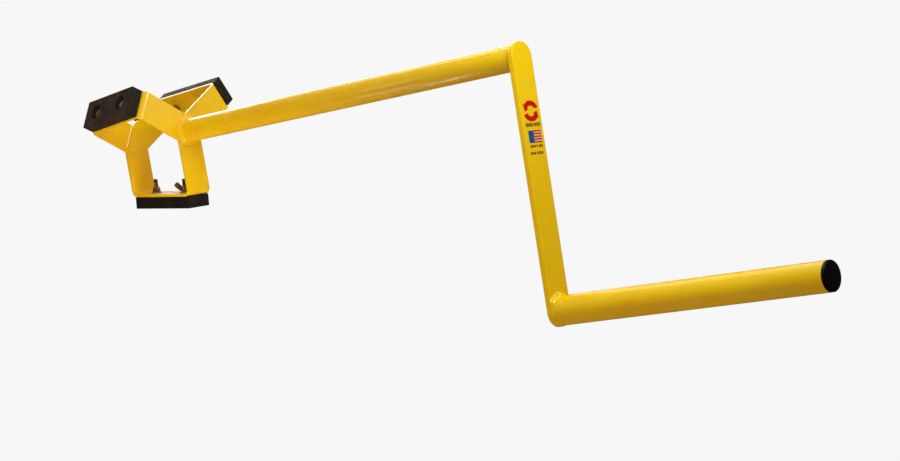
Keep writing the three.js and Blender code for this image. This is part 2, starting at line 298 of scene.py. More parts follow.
NOSE_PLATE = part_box("nose_centre_plate")
STRIP_THICKNESS = NOSE_PLATE[1].x - NOSE_PLATE[0].x
HEAD_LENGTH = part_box("rear_centre_plate")[1].x
HEAD = [Bracket(number) for number in BRACKETS]
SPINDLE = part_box("spindle_tube")
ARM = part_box("crank_arm")
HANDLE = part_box("handle_tube")
SPINDLE_RADIUS = (SPINDLE[1].y - SPINDLE[0].y) / 2
HANDLE_RADIUS = (HANDLE[1].y - HANDLE[0].y) / 2
HANDLE_DROP = (HANDLE[0].z + HANDLE[1].z) / 2
ARM_HALF_WIDTH = (ARM[1].y - ARM[0].y) / 2


# ------------------------------------------------------------------ materials


class Shader:
    """A material with a Principled shader and short ways to add nodes to it."""

    def __init__(self, name, **sockets):
        self.material = bpy.data.materials.new(name)
        self.material.use_nodes = True
        self.tree = self.material.node_tree
        self.base = self.tree.nodes["Principled BSDF"]
        for key, value in sockets.items():
            self.base.inputs[key.replace("_", " ")].default_value = value
        self.place = self.tree.nodes.new("ShaderNodeTexCoord").outputs["Object"]

    def node(self, kind, settings=(), **inputs):
        made = self.tree.nodes.new(kind)
        for key, value in dict(settings).items():
            setattr(made, key, value)
        for key, value in inputs.items():
            self.feed(made.inputs[key.replace("_", " ")], value)
        return made

    def feed(self, socket, value):
        if isinstance(value, bpy.types.NodeSocket):
            self.tree.links.new(value, socket)
        else:
            socket.default_value = value

    def noise(self, scale, detail=2.0, roughness=0.5):
        made = self.node(
            "ShaderNodeTexNoise", Vector=self.place, Scale=scale, Detail=detail, Roughness=roughness,
        )
        return made.outputs["Fac"]

    def cells(self, scale):
        made = self.node("ShaderNodeTexVoronoi", Vector=self.place, Scale=scale)
        return made.outputs["Distance"]

    def span(self, value, low, high, to_low=0.0, to_high=1.0):
        made = self.node(
            "ShaderNodeMapRange", {"clamp": True}, Value=value, From_Min=low, From_Max=high,
            To_Min=to_low, To_Max=to_high,
        )
        return made.outputs["Result"]

    def math(self, operation, first, second):
        made = self.tree.nodes.new("ShaderNodeMath")
        made.operation = operation
        self.feed(made.inputs[0], first)
        self.feed(made.inputs[1], second)
        return made.outputs["Value"]

    def mix(self, factor, first, second):
        made = self.tree.nodes.new("ShaderNodeMix")
        made.data_type = "RGBA"
        self.feed(made.inputs["Factor"], factor)
        self.feed(made.inputs["A"], first)
        self.feed(made.inputs["B"], second)
        return made.outputs["Result"]

    def bump(self, height, distance, strength=1.0, onto=None):
        made = self.tree.nodes.new("ShaderNodeBump")
        self.feed(made.inputs["Height"], height)
        made.inputs["Distance"].default_value = distance
        made.inputs["Strength"].default_value = strength
        if onto is not None:
            self.tree.links.new(onto, made.inputs["Normal"])
        return made.outputs["Normal"]

    def finish(self, color, roughness, normal):
        for key, value in {"Base Color": color, "Roughness": roughness, "Normal": normal}.items():
            self.feed(self.base.inputs[key], value)
        return self.material


def powder_coat(name, gloss, gloss_roughness):
    """Yellow paint with drifting thickness, a little grime, rare chips and an orange-peel surface."""
    s = Shader(name, Coat_Weight=gloss, Coat_Roughness=gloss_roughness, Specular_IOR_Level=0.3)
    drift = s.span(s.noise(7, 3), 0.35, 0.65)
    color = s.mix(drift, (0.90, 0.475, 0.003, 1), (0.93, 0.525, 0.004, 1))
    film = s.span(s.noise(70, 5, 0.65), 0.5, 0.8)
    color = s.mix(s.math("MULTIPLY", film, 0.30), color, (0.80, 0.40, 0.003, 1))
    grime = s.math("MULTIPLY", s.span(s.noise(22, 6, 0.7), 0.56, 0.74), s.span(s.noise(260, 3), 0.4, 0.7))
    color = s.mix(s.math("MULTIPLY", grime, 0.22), color, (0.34, 0.15, 0.004, 1))
    chip = s.math("MULTIPLY", s.span(s.cells(95), 0.09, 0.05), s.span(s.noise(14, 2), 0.62, 0.67))
    color = s.mix(chip, color, (0.055, 0.035, 0.02, 1))
    clean = s.span(s.noise(33, 4), 0.3, 0.7, 0.20, 0.34)
    roughness = s.math("ADD", clean, s.math("MULTIPLY", grime, 0.25))
    peel = s.bump(s.noise(420, 2, 0.4), 0.05 * MM, 0.55)
    fine = s.bump(s.noise(1500, 2), 0.012 * MM, 0.35, peel)
    chipped = s.bump(s.math("SUBTRACT", 1.0, chip), 0.08 * MM, 0.8, fine)
    return s.finish(color, roughness, chipped)


def rubber():
    """Moulded rubber, mottled and bloomed, with painted shade on the rear ends of the upper pads and on the
    low pad.
    """
    s = Shader("black_rubber", Specular_IOR_Level=0.16)
    mottle = s.span(s.noise(70, 6, 0.65), 0.35, 0.68)
    color = s.mix(mottle, (0.019, 0.0100, 0.0070, 1), (0.060, 0.033, 0.019, 1))
    olive = s.span(s.noise(38, 4, 0.6), 0.50, 0.66)
    color = s.mix(s.math("MULTIPLY", olive, 0.45), color, (0.040, 0.032, 0.016, 1))
    powder = s.span(s.noise(480, 3), 0.35, 0.75)
    bloom = s.math("MULTIPLY", s.span(s.noise(24, 5, 0.65), 0.54, 0.72), powder)
    color = s.mix(s.math("MULTIPLY", bloom, 0.35), color, (0.10, 0.085, 0.06, 1))
    crumb = s.span(s.cells(700), 0.16, 0.05)
    color = s.mix(s.math("MULTIPLY", crumb, 0.22), color, (0.12, 0.10, 0.08, 1))
    axes = s.node("ShaderNodeSeparateXYZ", Vector=s.place).outputs
    # Painted shade: the rear end faces of the upper pads are darkened.
    painted_shade_rear_end = s.math("MULTIPLY", s.span(axes["X"], 0.129, 0.133), s.span(axes["Z"], -0.05, 0.0))
    color = s.mix(s.math("MULTIPLY", painted_shade_rear_end, 0.75), color, (0.008, 0.0035, 0.0025, 1))
    # Painted shade: the colour darkens with depth below z = -0.04 m, so the low pad is darker.
    color = s.mix(s.span(axes["Z"], -0.10, -0.04, 0.75, 0.0), color, (0.005, 0.0032, 0.002, 1))
    roughness = s.span(s.noise(120, 4), 0.3, 0.7, 0.62, 0.85)
    grain = s.bump(s.noise(950, 4, 0.7), 0.10 * MM, 0.7)
    dents = s.bump(s.noise(140, 4, 0.6), 0.25 * MM, 0.45, grain)
    return s.finish(color, roughness, dents)


def plated_steel(name, light, dark, roughness_low, roughness_high, shank=None):
    """Zinc-plated steel. A shank colour takes over below z = -4 mm, on a bolt's thread."""
    s = Shader(name, Metallic=0.8)
    drift = s.span(s.noise(160, 5, 0.6), 0.35, 0.68)
    color = s.mix(drift, light, dark)
    if shank:
        height = s.node("ShaderNodeSeparateXYZ", Vector=s.place).outputs["Z"]
        dark_shank = s.mix(drift, shank, (0.05, 0.06, 0.045, 1))
        color = s.mix(s.span(height, -4 * MM, -9 * MM), color, dark_shank)
    tarnish = s.span(s.noise(420, 4, 0.7), 0.52, 0.75)
    color = s.mix(s.math("MULTIPLY", tarnish, 0.5), color, (0.10, 0.075, 0.04, 1))
    roughness = s.span(s.noise(300, 4), 0.3, 0.7, roughness_low, roughness_high)
    grain = s.bump(s.noise(1400, 3, 0.6), 0.03 * MM, 0.6)
    worn = s.bump(s.noise(350, 3), 0.06 * MM, 0.4, grain)
    return s.finish(color, roughness, worn)


def black_plastic():
    """Moulded plastic with a fine spark finish and a few scuffs."""
    s = Shader("black_plastic", Specular_IOR_Level=0.25)
    drift = s.span(s.noise(90, 5), 0.35, 0.7)
    color = s.mix(drift, (0.0012, 0.0009, 0.0008, 1), (0.0032, 0.0022, 0.0018, 1))
    scratches = s.span(s.noise(900, 2), 0.45, 0.6)
    scuff = s.math("MULTIPLY", s.span(s.noise(40, 6, 0.75), 0.58, 0.72), scratches)
    color = s.mix(s.math("MULTIPLY", scuff, 0.3), color, (0.02, 0.017, 0.015, 1))
    roughness = s.span(s.noise(200, 3), 0.3, 0.7, 0.36, 0.52)
    spark = s.bump(s.noise(1800, 2, 0.6), 0.035 * MM, 0.7)
    return s.finish(color, roughness, spark)


def printed(name, ink, worn):
    """Glossy printed vinyl, faded in patches from ink towards worn."""
    s = Shader(name, Coat_Weight=0.2, Coat_Roughness=0.06, Specular_IOR_Level=0.3)
    color = s.mix(s.span(s.noise(130, 5, 0.7), 0.45, 0.8), ink, worn)
    roughness = s.span(s.noise(60, 3), 0.3, 0.7, 0.24, 0.38)
    ripple = s.bump(s.noise(240, 2), 0.02 * MM, 0.5)
    return s.finish(color, roughness, ripple)


YELLOW = powder_coat("yellow_powder_coat", 0.22, 0.08)
SEAM_YELLOW = powder_coat("thick_yellow_coat", 0.75, 0.11)
RUBBER = rubber()
THREAD = (0.15, 0.19, 0.14, 1)
GREY_ZINC = plated_steel(
    "zinc_steel", (0.50, 0.51, 0.47, 1), (0.27, 0.29, 0.26, 1), 0.28, 0.48, THREAD,
)
COPPER_ZINC = plated_steel(
    "gold_zinc_steel", (0.62, 0.40, 0.26, 1), (0.34, 0.20, 0.12, 1), 0.28, 0.45, THREAD,
)
BRONZE = plated_steel("bronze_zinc", (0.42, 0.22, 0.06, 1), (0.20, 0.095, 0.025, 1), 0.30, 0.50)
PLASTIC = black_plastic()
FILM = printed("label_film", (0.93, 0.49, 0.006, 1), (0.88, 0.46, 0.012, 1))
RED_INK = printed("red_ink", (0.60, 0.0015, 0.0015, 1), (0.64, 0.008, 0.004, 1))
BLUE_INK = printed("blue_ink", (0.012, 0.065, 0.24, 1), (0.02, 0.09, 0.28, 1))
PALE_INK = printed("pale_ink", (0.62, 0.42, 0.36, 1), (0.55, 0.33, 0.24, 1))
DARK_INK = printed("dark_ink", (0.085, 0.022, 0.002, 1), (0.15, 0.05, 0.004, 1))


# ------------------------------------------------------------------ head


def bracket_path(bracket):
    """(x, radius, outward normal) along the outside of the strip, from the nose foot to the rear foot."""
    steps = 16
    web_normal = 90 + math.degrees(bracket.lean)
    path = [((0, STAR_APOTHEM), (-1, 0))]
    # A bend is tangent to the leg and to the web, so its centre lies on the corner's bisector.
    for corner_x, corner_r, first, last in (
        (0, bracket.nose_radius, 180, web_normal),
        (HEAD_LENGTH, bracket.rear_radius, web_normal, 0),
    ):
        reach = BEND_RADIUS / math.cos(math.radians(first - last) / 2)
        bisector = math.radians((first + last) / 2)
        x, r = corner_x - reach * math.cos(bisector), corner_r - reach * math.sin(bisector)
        for i in range(steps + 1):
            a = math.radians(first + (last - first) * i / steps)
            normal = (math.cos(a), math.sin(a))
            path.append(((x + BEND_RADIUS * normal[0], r + BEND_RADIUS * normal[1]), normal))
    path.append(((HEAD_LENGTH, STAR_APOTHEM), (1, 0)))
    return path


def head_bracket(bracket):
    """The bar's section carried along its path, and drilled for two bolts."""
    half = STRIP_WIDTH / 2
    section = rounded_rectangle((0, -half), (STRIP_THICKNESS, half), STRIP_EDGE)
    rings = []
    for (x, r), (nx, nr) in bracket_path(bracket):
        rings.append([Vector((x - nx * d, y, r - nr * d)) for d, y in section])
    name = f"bent_bracket_{bracket.number}"
    mesh = mesh_of(name, loft(rings), bracket.matrix)
    drill = spun_solid([(BOLT_HOLE_RADIUS, -3 * STRIP_THICKNESS), (BOLT_HOLE_RADIUS, STRIP_THICKNESS)])
    mesh = cut(name, mesh, [mesh_of("drill", drill, place) for place in bracket.bolt_places()])
    piece(name, mesh, YELLOW, [f"head_bracket_{bracket.number}"])


def star_outline(apothem, corner):
    """A triangle with its sides facing the brackets and its corners rounded, as (y, z) points."""
    points = []
    for bracket in HEAD:
        facing = math.degrees(math.atan2(bracket.facing.y, bracket.facing.x))
        a = math.radians(facing + 60)
        reach = 2 * (apothem - corner)
        centre = (reach * math.cos(a), reach * math.sin(a))
        points += rounded_corner(centre, corner, facing, facing + 120, 8)
    return points


def centre_plate(name, x):
    """The triangle between the square ends of a star's legs."""
    outline = star_outline(STAR_APOTHEM, 0.05 * MM)
    mesh = mesh_of(name, thin_plate(outline, x, STRIP_THICKNESS), ALONG_X)
    piece(name, mesh, YELLOW, [name.replace("filler", "centre")])


def resampled(points, step):
    """Points about a step apart on a closed outline, each with its direction and distance along it."""
    count = len(points)
    lengths = [math.dist(points[i], points[(i + 1) % count]) for i in range(count)]
    total = sum(lengths)
    wanted = round(total / step)
    made, i, passed = [], 0, 0.0
    for k in range(wanted):
        at = total * k / wanted
        while passed + lengths[i] < at:
            passed += lengths[i]
            i += 1
        a, b = points[i], points[(i + 1) % count]
        share = (at - passed) / lengths[i]
        here = Vector((a[0] + (b[0] - a[0]) * share, a[1] + (b[1] - a[1]) * share))
        direction = Vector((b[0] - a[0], b[1] - a[1])).normalized()
        made.append((here, direction, at))
    return made


def ripple(phase):
    """The height of a weld's overlapping scales, from 0 to 1, rising slowly and falling fast."""
    share = phase % 1.0
    return share / 0.8 if share < 0.8 else (1 - share) / 0.2


def seam_weld(name, face, side):
    """A rippled bead round a star's centre plate, on its inner face.

    The seam to the second bracket stands proud, and the other two are nearly flush. The bead's toes are
    sunk a little into the face.
    """
    width, height, scale = 7.6 * MM, 1.3 * MM, 5.0 * MM
    corner, sunk, flush = 3.9 * MM, 0.05 * MM, 0.2
    step, steps = 0.3 * MM, 14
    proud_side = HEAD[1].facing
    path = resampled(star_outline(STAR_APOTHEM, corner), step)
    total = path[-1][2] + step
    count = round(total / scale)
    rings = []
    for centre, direction, at in path:
        across = Vector((direction.y, -direction.x))
        wander = 1 + 0.08 * math.sin(at / (7 * MM)) + 0.06 * math.sin(at / (3.1 * MM))
        # 1 at the middle of the proud side and 0.5 at its corners
        facing = centre.normalized().dot(proud_side)
        proud = flush + (1 - flush) * min(max((facing - 0.4) / 0.15, 0), 1)
        ring = []
        for i in range(steps + 1):
            share = 1 - 2 * i / steps
            hill = (1 + math.cos(math.pi * share)) / 2
            scales = abs(math.sin(math.pi * (count * at / total + 0.2 * hill)))
            swell = wander * proud * (0.36 + 0.64 * scales)
            flat = centre + across * (width / 2 * share)
            ring.append(Vector((flat.x, flat.y, face + side * (height * hill * swell - sunk))))
        rings.append(ring)
    mesh = mesh_of(name, loft(rings, closed=True), ALONG_X, sharp=80)
    node = name.replace("bead", "weld")
    piece(name, mesh, SEAM_YELLOW, [node], weighted=False)


def pad_outline(inset):
    x, y = PAD_LENGTH / 2 - inset, PAD_WIDTH / 2 - inset
    return rounded_rectangle((-x, -y), (x, y), PAD_CORNER - inset)


def rubber_pad(bracket):
    """A pad on its seat, with a counterbore for each bolt whose rim flares outwards."""
    name, node = f"grip_pad_{bracket.number}", f"rubber_pad_{bracket.number}"
    top = cad_height(node, bracket.seat, highest=True)
    mesh = mesh_of(name, slab(pad_outline, 0.02 * MM, top, PAD_EDGE), bracket.seat)
    floor = top - COUNTERBORE_DEPTH
    flare = 0.8 * MM
    profile = [
        (BOLT_HOLE_RADIUS, -1 * MM), (BOLT_HOLE_RADIUS, floor), (COUNTERBORE_RADIUS, floor),
        (COUNTERBORE_RADIUS, top - flare), (COUNTERBORE_RADIUS + flare, top + 0.2 * MM),
        (COUNTERBORE_RADIUS + flare, top + 2 * MM),
    ]
    bore = spun_solid(profile, 64)
    mesh = cut(name, mesh, [mesh_of("counterbore", bore, place) for place in bracket.bolt_places()])
    piece(name, mesh, RUBBER, [node])


# ------------------------------------------------------------------ fasteners, about Z


def hexagon(angle):
    """The radius of the bolt head's flats and corners."""
    return HEAD_APOTHEM / math.cos(angle % (math.pi / 3) - math.pi / 6)


def thread_radius(angle, z):
    """The radius of a helical thread with narrow flats at its crests and roots."""
    phase = (z / THREAD_PITCH + angle / TURN) % 1.0
    tooth = min(1.0, max(0.0, (abs(2 * phase - 1) - 0.12) / 0.70))
    return BOLT_RADIUS - THREAD_DEPTH * (1 - tooth)


def bolt_head_rings(steps):
    """Rings down a chamfered hex head that stands on z = 0, as functions of the angle, to the shank."""
    crown = 0.93 * HEAD_APOTHEM
    slope = math.tan(math.radians(30))
    rounding = 0.12 * MM
    levels = [
        (lambda a: 0.5 * crown, lambda a: HEAD_HEIGHT),
        (lambda a: crown, lambda a: HEAD_HEIGHT),
        (lambda a: hexagon(a) - rounding, lambda a: HEAD_HEIGHT - (hexagon(a) - crown) * slope),
        (hexagon, lambda a: HEAD_HEIGHT - (hexagon(a) - crown) * slope - rounding),
        (hexagon, lambda a: 0.45 * MM),
        (lambda a: hexagon(a) - 2 * rounding, lambda a: 0.25 * MM),
        (lambda a: 0.95 * HEAD_APOTHEM, lambda a: 0.25 * MM),
        (lambda a: 0.95 * HEAD_APOTHEM, lambda a: 0.0),
        (lambda a: BOLT_RADIUS, lambda a: 0.0),
    ]
    angles = [TURN * i / steps for i in range(steps)]
    rings = []
    for radius, height in levels:
        ring = [Vector((radius(a) * math.cos(a), radius(a) * math.sin(a), height(a))) for a in angles]
        rings.append(ring)
    return rings


def thread_rings(steps):
    """Rings down the threaded end, which runs in over two turns and ends in a 45 degree point."""
    per_pitch = 8
    point = 1.0 * MM
    start = THREADED_LENGTH - BOLT_LENGTH
    rings = [circle(BOLT_RADIUS, start, steps)]
    count = int(THREADED_LENGTH / THREAD_PITCH * per_pitch)
    for k in range(1, count + 1):
        z = start - k * THREAD_PITCH / per_pitch
        cone = BOLT_RADIUS - point + (z + BOLT_LENGTH)
        run_in = min(1.0, k / (2 * per_pitch))
        ring = []
        for i in range(steps):
            a = TURN * i / steps
            r = BOLT_RADIUS + (thread_radius(a, z) - BOLT_RADIUS) * run_in
            r = min(r, cone)
            ring.append(Vector((r * math.cos(a), r * math.sin(a), z)))
        rings.append(ring)
    rings.append(circle(BOLT_RADIUS - 1.1 * point, -BOLT_LENGTH, steps))
    return rings


def bolt_mesh():
    steps = 48
    return mesh_of("hex_bolt", loft(bolt_head_rings(steps) + thread_rings(steps)), sharp=32)


def washer_mesh():
    profile = rounded_rectangle((BOLT_HOLE_RADIUS, 0), (WASHER_RADIUS, WASHER_THICKNESS), 0.25 * MM, 3)
    return mesh_of("flat_washer", spun_ring(profile, 64))


def rounded_polygon(corners, steps=6):
    """An anticlockwise convex outline through (x, y, radius) corners, each rounded by its radius."""
    points = []
    for i, (x, y, radius) in enumerate(corners):
        here = Vector((x, y))
        before = (Vector(corners[i - 1][:2]) - here).normalized()
        after = (Vector(corners[(i + 1) % len(corners)][:2]) - here).normalized()
        half = before.angle(after) / 2
        centre = here + (before + after).normalized() * radius / math.sin(half)
        start = math.degrees(math.atan2(before.x, -before.y))
        sweep = 180 - math.degrees(2 * half)
        points += rounded_corner(centre, radius, start, start + sweep, steps)
    return points


def wing_skin(side):
    """A straight blade that thins towards its tip, to one side of a wing nut. Its sizes are in mm."""
    corners = [(3.6, 1.0, 0.3), (8.4, 1.0, 2.5), (18.9, 11.2, 2.6), (12.3, 17.3, 2.6), (3.6, 8.4, 0.3)]
    rings = []
    for face, inset in ((-1, 0.55), (-1, 0.0), (1, 0.0), (1, 0.55)):
        pull = 1 - inset * 0.045
        ring = []
        for x, z in rounded_polygon(corners):
            half = 2.05 - 0.03 * x - 0.6 * inset
            point = Vector((side * (x * pull + 0.4 * inset), face * side * half, z * pull + 0.3 * inset))
            ring.append(point * MM)
        rings.append(ring)
    return loft(rings)


def wing_nut_mesh():
    """A forged wing nut that stands on z = 0 with its wings along X. Its sizes are in mm."""
    hub = [(6.3, 0), (6.95, 0.7), (6.95, 2.2), (6.4, 4.2), (5.9, 6.6), (5.5, 8.0), (4.9, 8.5)]
    skins = [spun_solid([(r * MM, z * MM) for r, z in hub]), wing_skin(1), wing_skin(-1)]
    joined, faces = [], []
    for verts, its_faces in skins:
        faces += [tuple(i + len(joined) for i in face) for face in its_faces]
        joined += [tuple(v) for v in verts]
    rough = mesh_of("wing_nut_blank", (joined, faces))
    blank = evaluated("wing_nut_forging", rough, [
        ("REMESH", {"mode": "VOXEL", "voxel_size": 0.36 * MM}),
        ("SMOOTH", {"factor": 0.5, "iterations": 7}),
    ])
    bore = [(5.1, -0.6), (4.15, 0.4), (4.15, 7.9), (5.3, 9.4)]
    drill = mesh_of("bore", spun_solid([(r * MM, z * MM) for r, z in bore]))
    return cut("forged_wing_nut", blank, [drill], sharp=45)


def fasteners():
    """On each bolt, from the outside in: a washer, the bolt, a washer and a wing nut."""
    bolt, washer, nut = bolt_mesh(), washer_mesh(), wing_nut_mesh()
    copper_bolt = bolt.copy()
    copper_bolt.name = "gold_hex_bolt"
    for bracket in HEAD:
        for station, place in zip(STATIONS, bracket.bolt_places()):
            label = f"{bracket.number}_{station}"
            outer, inner = f"head_washer_{label}", f"nut_washer_{label}"
            flat_washer(washer, f"washer_under_head_{label}", outer, "root", place)
            if station == "nose":
                hex_bolt(copper_bolt, COPPER_ZINC, label, place, math.radians(37 * bracket.number + 16))
            else:
                hex_bolt(bolt, GREY_ZINC, label, place, math.radians(37 * bracket.number))
            flat_washer(washer, f"washer_under_nut_{label}", inner, inner, place)
            wing_nut(nut, label, place)


def lifted(place, height, turn=0.0):
    """A place moved along its Z and turned about it."""
    return place @ Matrix.Translation((0, 0, height)) @ Matrix.Rotation(turn, 4, "Z")


def flat_washer(mesh, name, node, body, place):
    matrix = lifted(place, cad_height(node, place))
    piece(name, mesh, GREY_ZINC, [node], body, matrix)


def hex_bolt(mesh, finish, label, place, turn):
    node = f"pad_bolt_{label}"
    matrix = lifted(place, cad_height(node, place, highest=True) - HEAD_HEIGHT, turn)
    piece(f"threaded_bolt_{label}", mesh, finish, [node], "root", matrix)


def wing_nut(mesh, label, place):
    """A wing nut on the inside of the web, so upside down in the seat."""
    node = f"wing_nut_{label}"
    matrix = lifted(place, cad_height(node, place, highest=True), wing_direction(node, place))
    matrix = matrix @ Matrix.Rotation(math.pi, 4, "X")
    piece(f"forged_nut_{label}", mesh, BRONZE, [node], node, matrix)


def wing_direction(node, place):
    """The angle of a CAD wing nut's wings about its bolt. Squaring makes opposite tips point one way."""
    inverse = place.inverted()
    local = [inverse @ v.co for v in frame["nodes"][node].data.vertices]
    points = [complex(p.x, p.y) for p in local]
    reach = max(abs(p) for p in points)
    doubled = sum((p ** 2 for p in points if abs(p) > 0.9 * reach), 0j)
    return math.atan2(doubled.imag, doubled.real) / 2


# ------------------------------------------------------------------ crank


def tube(name, box, radius, z):
    profile = rounded_rectangle((radius - TUBE_WALL, box[0].x), (radius, box[1].x), 0.6 * MM, 3)
    mesh = mesh_of(name, spun_ring(profile, 160), Matrix.Translation((0, 0, z)) @ ALONG_X)
    piece(name, mesh, YELLOW, [name.replace("round", "tube")])


def arm_outline(inset):
    """The arm's outline as (y, z) points: a bar with full round ends."""
    r = ARM_HALF_WIDTH - inset
    return rounded_corner((0, 0), r, 0, 180, 40) + rounded_corner((0, HANDLE_DROP), r, 180, 360, 40)


def crank_arm():
    mesh = mesh_of("crank_bar", slab(arm_outline, ARM[0].x, ARM[1].x, 0.9 * MM), ALONG_X)
    piece("crank_bar", mesh, YELLOW, ["crank_arm"])


def arm_reach(angle):
    """How far the arm's outline is from the handle's axis, in a direction from +Y."""
    if math.sin(angle) <= 0:
        return ARM_HALF_WIDTH
    return ARM_HALF_WIDTH / max(abs(math.cos(angle)), 0.05)


def fillet_weld(name, node, face, side, radius, leg, scale, z=0.0, reach=None):
    """A rippled convex bead in the corner between a tube and a plate at x = face.

    It is at most leg wide, on the plate, and leg tall, on the tube. A narrow plate gives its reach from
    the tube's axis as a function of the angle, and the bead stops short of it.
    """
    steps, around = 12, 420
    short = 0.15 * MM
    count = round(TURN * radius / scale)
    rings = []
    for k in range(around):
        a = TURN * k / around
        wander = 1 + 0.05 * math.sin(5 * a + 0.6) + 0.035 * math.sin(11 * a + 2.1)
        wide = 0.93 * leg * wander
        if reach:
            wide = min(wide, reach(a) - radius - short)
        tall = min(0.93 * leg * wander, 0.35 * leg + wide)
        ring = [Vector((radius * math.cos(a), radius * math.sin(a), face))]
        for i in range(steps + 1):
            b = math.pi / 2 * i / steps
            crown = math.sin(2 * b)
            swell = 1 - 0.30 * crown - 0.05 * crown * (1 - ripple(count * k / around + 0.4 * crown))
            r = radius + wide * math.cos(b) * swell
            x = face + side * tall * math.sin(b) * swell
            ring.append(Vector((r * math.cos(a), r * math.sin(a), x)))
        rings.append(ring)
    mesh = mesh_of(name, loft(rings, closed=True), Matrix.Translation((0, 0, z)) @ ALONG_X, sharp=80)
    piece(name, mesh, YELLOW, [node], weighted=False)


def end_plug():
    """A plug with a bevelled stem, a round-edged head that domes a little and a gate mark at its centre."""
    low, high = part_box("handle_end_plug")
    face, seat = high.x, HANDLE[1].x + 0.1 * MM
    stem = HANDLE_RADIUS - TUBE_WALL - 0.3 * MM
    bevel, lip, edge, dome = 1.5 * MM, 0.3 * MM, 2.4 * MM, 0.5 * MM
    profile = [(0.4 * stem, low.x), (stem - bevel, low.x), (stem, low.x + bevel), (stem, seat)]
    profile += [(HANDLE_RADIUS - lip, seat), (HANDLE_RADIUS, seat + lip)]
    rim = rounded_corner((HANDLE_RADIUS - edge, face - dome - edge), edge, 0, 82, 8)
    profile += rim
    outer = rim[-1][0]
    for share in (0.85, 0.7, 0.5, 0.3, 0.16):
        profile.append((outer * share, face - dome * share ** 2))
    profile += [(2.6 * MM, face - 0.02 * MM), (2.2 * MM, face - 0.5 * MM), (1.0 * MM, face - 0.6 * MM)]
    on_handle = Matrix.Translation((0, 0, HANDLE_DROP)) @ ALONG_X
    mesh = mesh_of("moulded_plug", spun_solid(profile, 128), on_handle)
    piece("moulded_plug", mesh, PLASTIC, ["handle_end_plug"])


# ------------------------------------------------------------------ labels


def printed_piece(name, parts, x):
    """One object of several flat prints, given as (outline, material)."""
    mesh = bpy.data.meshes.new(name)
    verts, faces, owners, inks = [], [], [], []
    for outline, ink in parts:
        its_verts, its_faces = thin_plate(outline, x, PRINT_THICKNESS)
        if ink not in inks:
            inks.append(ink)
        faces += [tuple(i + len(verts) for i in face) for face in its_faces]
        owners += [inks.index(ink)] * len(its_faces)
        verts += its_verts
    mesh.from_pydata([tuple(v) for v in verts], [], faces)
    mesh.transform(ALONG_X)
    for ink in inks:
        mesh.materials.append(ink)
    mesh.polygons.foreach_set("material_index", owners)
    face_outwards(mesh)
    piece(name, mesh, None, [], weighted=False)


def turn_arrow(centre, outer, inner, start, sweep, head, stretch):
    """A bent arrow that shows a turn, as (y, z) points: a band of an oval ring and a pointed head."""
    end = start + sweep
    outline = rounded_corner((0, 0), outer, start, end, 30)
    middle, spread = (outer + inner) / 2, (outer - inner) * 0.85
    for radius, angle in ((middle + spread, end), (middle, end + head), (middle - spread, end)):
        a = math.radians(angle)
        outline.append((radius * math.cos(a), radius * math.sin(a)))
    outline += rounded_corner((0, 0), inner, end, start, 30)
    return [(centre[0] + y * stretch, centre[1] + z) for y, z in outline]


def bar_outline(left, right, bottom, top, radius=0.6):
    """A print's outline from sizes in millimetres."""
    return rounded_rectangle((left * MM, bottom * MM), (right * MM, top * MM), radius * MM, 3)


def small_print(left, bottom, height, words):
    """A row of plain upright strokes, in mm. Each word is given as its number of strokes."""
    stroke, gap, space = 2.3, 1.0, 2.6
    bars = []
    for count in words:
        for _ in range(count):
            bars.append((bar_outline(left, left + stroke, bottom, bottom + height, 0.4), DARK_INK))
            left += stroke + gap
        left += space - gap
    return bars


def label_film(node):
    low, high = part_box(node)
    outline = rounded_rectangle((low.y, low.z), (high.y, high.z), 3 * MM, 6)
    mesh = mesh_of(f"{node}_film", thin_plate(outline, ARM[1].x, FILM_THICKNESS), ALONG_X)
    piece(f"{node}_film", mesh, FILM, [node])


def upper_print(face):
    """Two red arrows that chase each other round, over a row of dark strokes."""
    centre = (0.6 * MM, -83 * MM)
    sizes = (16 * MM, 8 * MM)
    parts = [(turn_arrow(centre, *sizes, start, 122, 40, 1.16), RED_INK) for start in (20, 200)]
    parts += small_print(-16.0, -106.6, 5.8, (5, 5))
    printed_piece("upper_label_print", parts, face)


def lower_print(face):
    """A panel of plain bands with a blue block beside it, over two rows of dark strokes."""
    left, split, right, top, bottom = -13.5, -1.0, 17.5, -112.4, -131.2
    bands = 9
    step = (top - bottom) / bands
    parts = [(bar_outline(left, split, bottom, top, 0.1), BLUE_INK)]
    for i in range(bands):
        ink = RED_INK if i % 2 == 0 else PALE_INK
        parts.append((bar_outline(split, right, top - step * (i + 1), top - step * i, 0.05), ink))
    parts += small_print(-12.5, -138.2, 4.0, (4, 1, 3))
    parts += small_print(-14.5, -148.8, 4.2, (4, 5))
    printed_piece("lower_label_print", parts, face)


def labels():
    label_film("upper_label")
    label_film("lower_label")
    face = ARM[1].x + FILM_THICKNESS + PRINT_GAP
    upper_print(face)
    lower_print(face)


# ------------------------------------------------------------------ stage, lights and camera


BACKDROP = (0.93, 0.93, 0.93, 1)
FLOOR_DROP = 0.5
FLOOR_HALF_SIZE = 60.0

# Colours of the surroundings from straight down, 0, over the horizon, 0.5, to straight up, 1
LIT_BY = [(0.0, (0, 0, 0, 1)), (0.5, (0, 0, 0, 1)), (1.0, (1.22, 1.16, 1.08, 1))]
REFLECTED = [
    (0.0, (0.02, 0.02, 0.02, 1)), (0.45, (0.03, 0.03, 0.03, 1)), (0.5, (0.05, 0.05, 0.05, 1)),
    (0.56, (0.03, 0.03, 0.03, 1)), (0.8, (0.10, 0.10, 0.10, 1)), (1.0, (0.4, 0.4, 0.4, 1)),
]

# Softboxes that only show in the object's reflections, or only in its matt shading
REFLECTED_ONLY = "reflected only"
MATT_ONLY = "matt only"


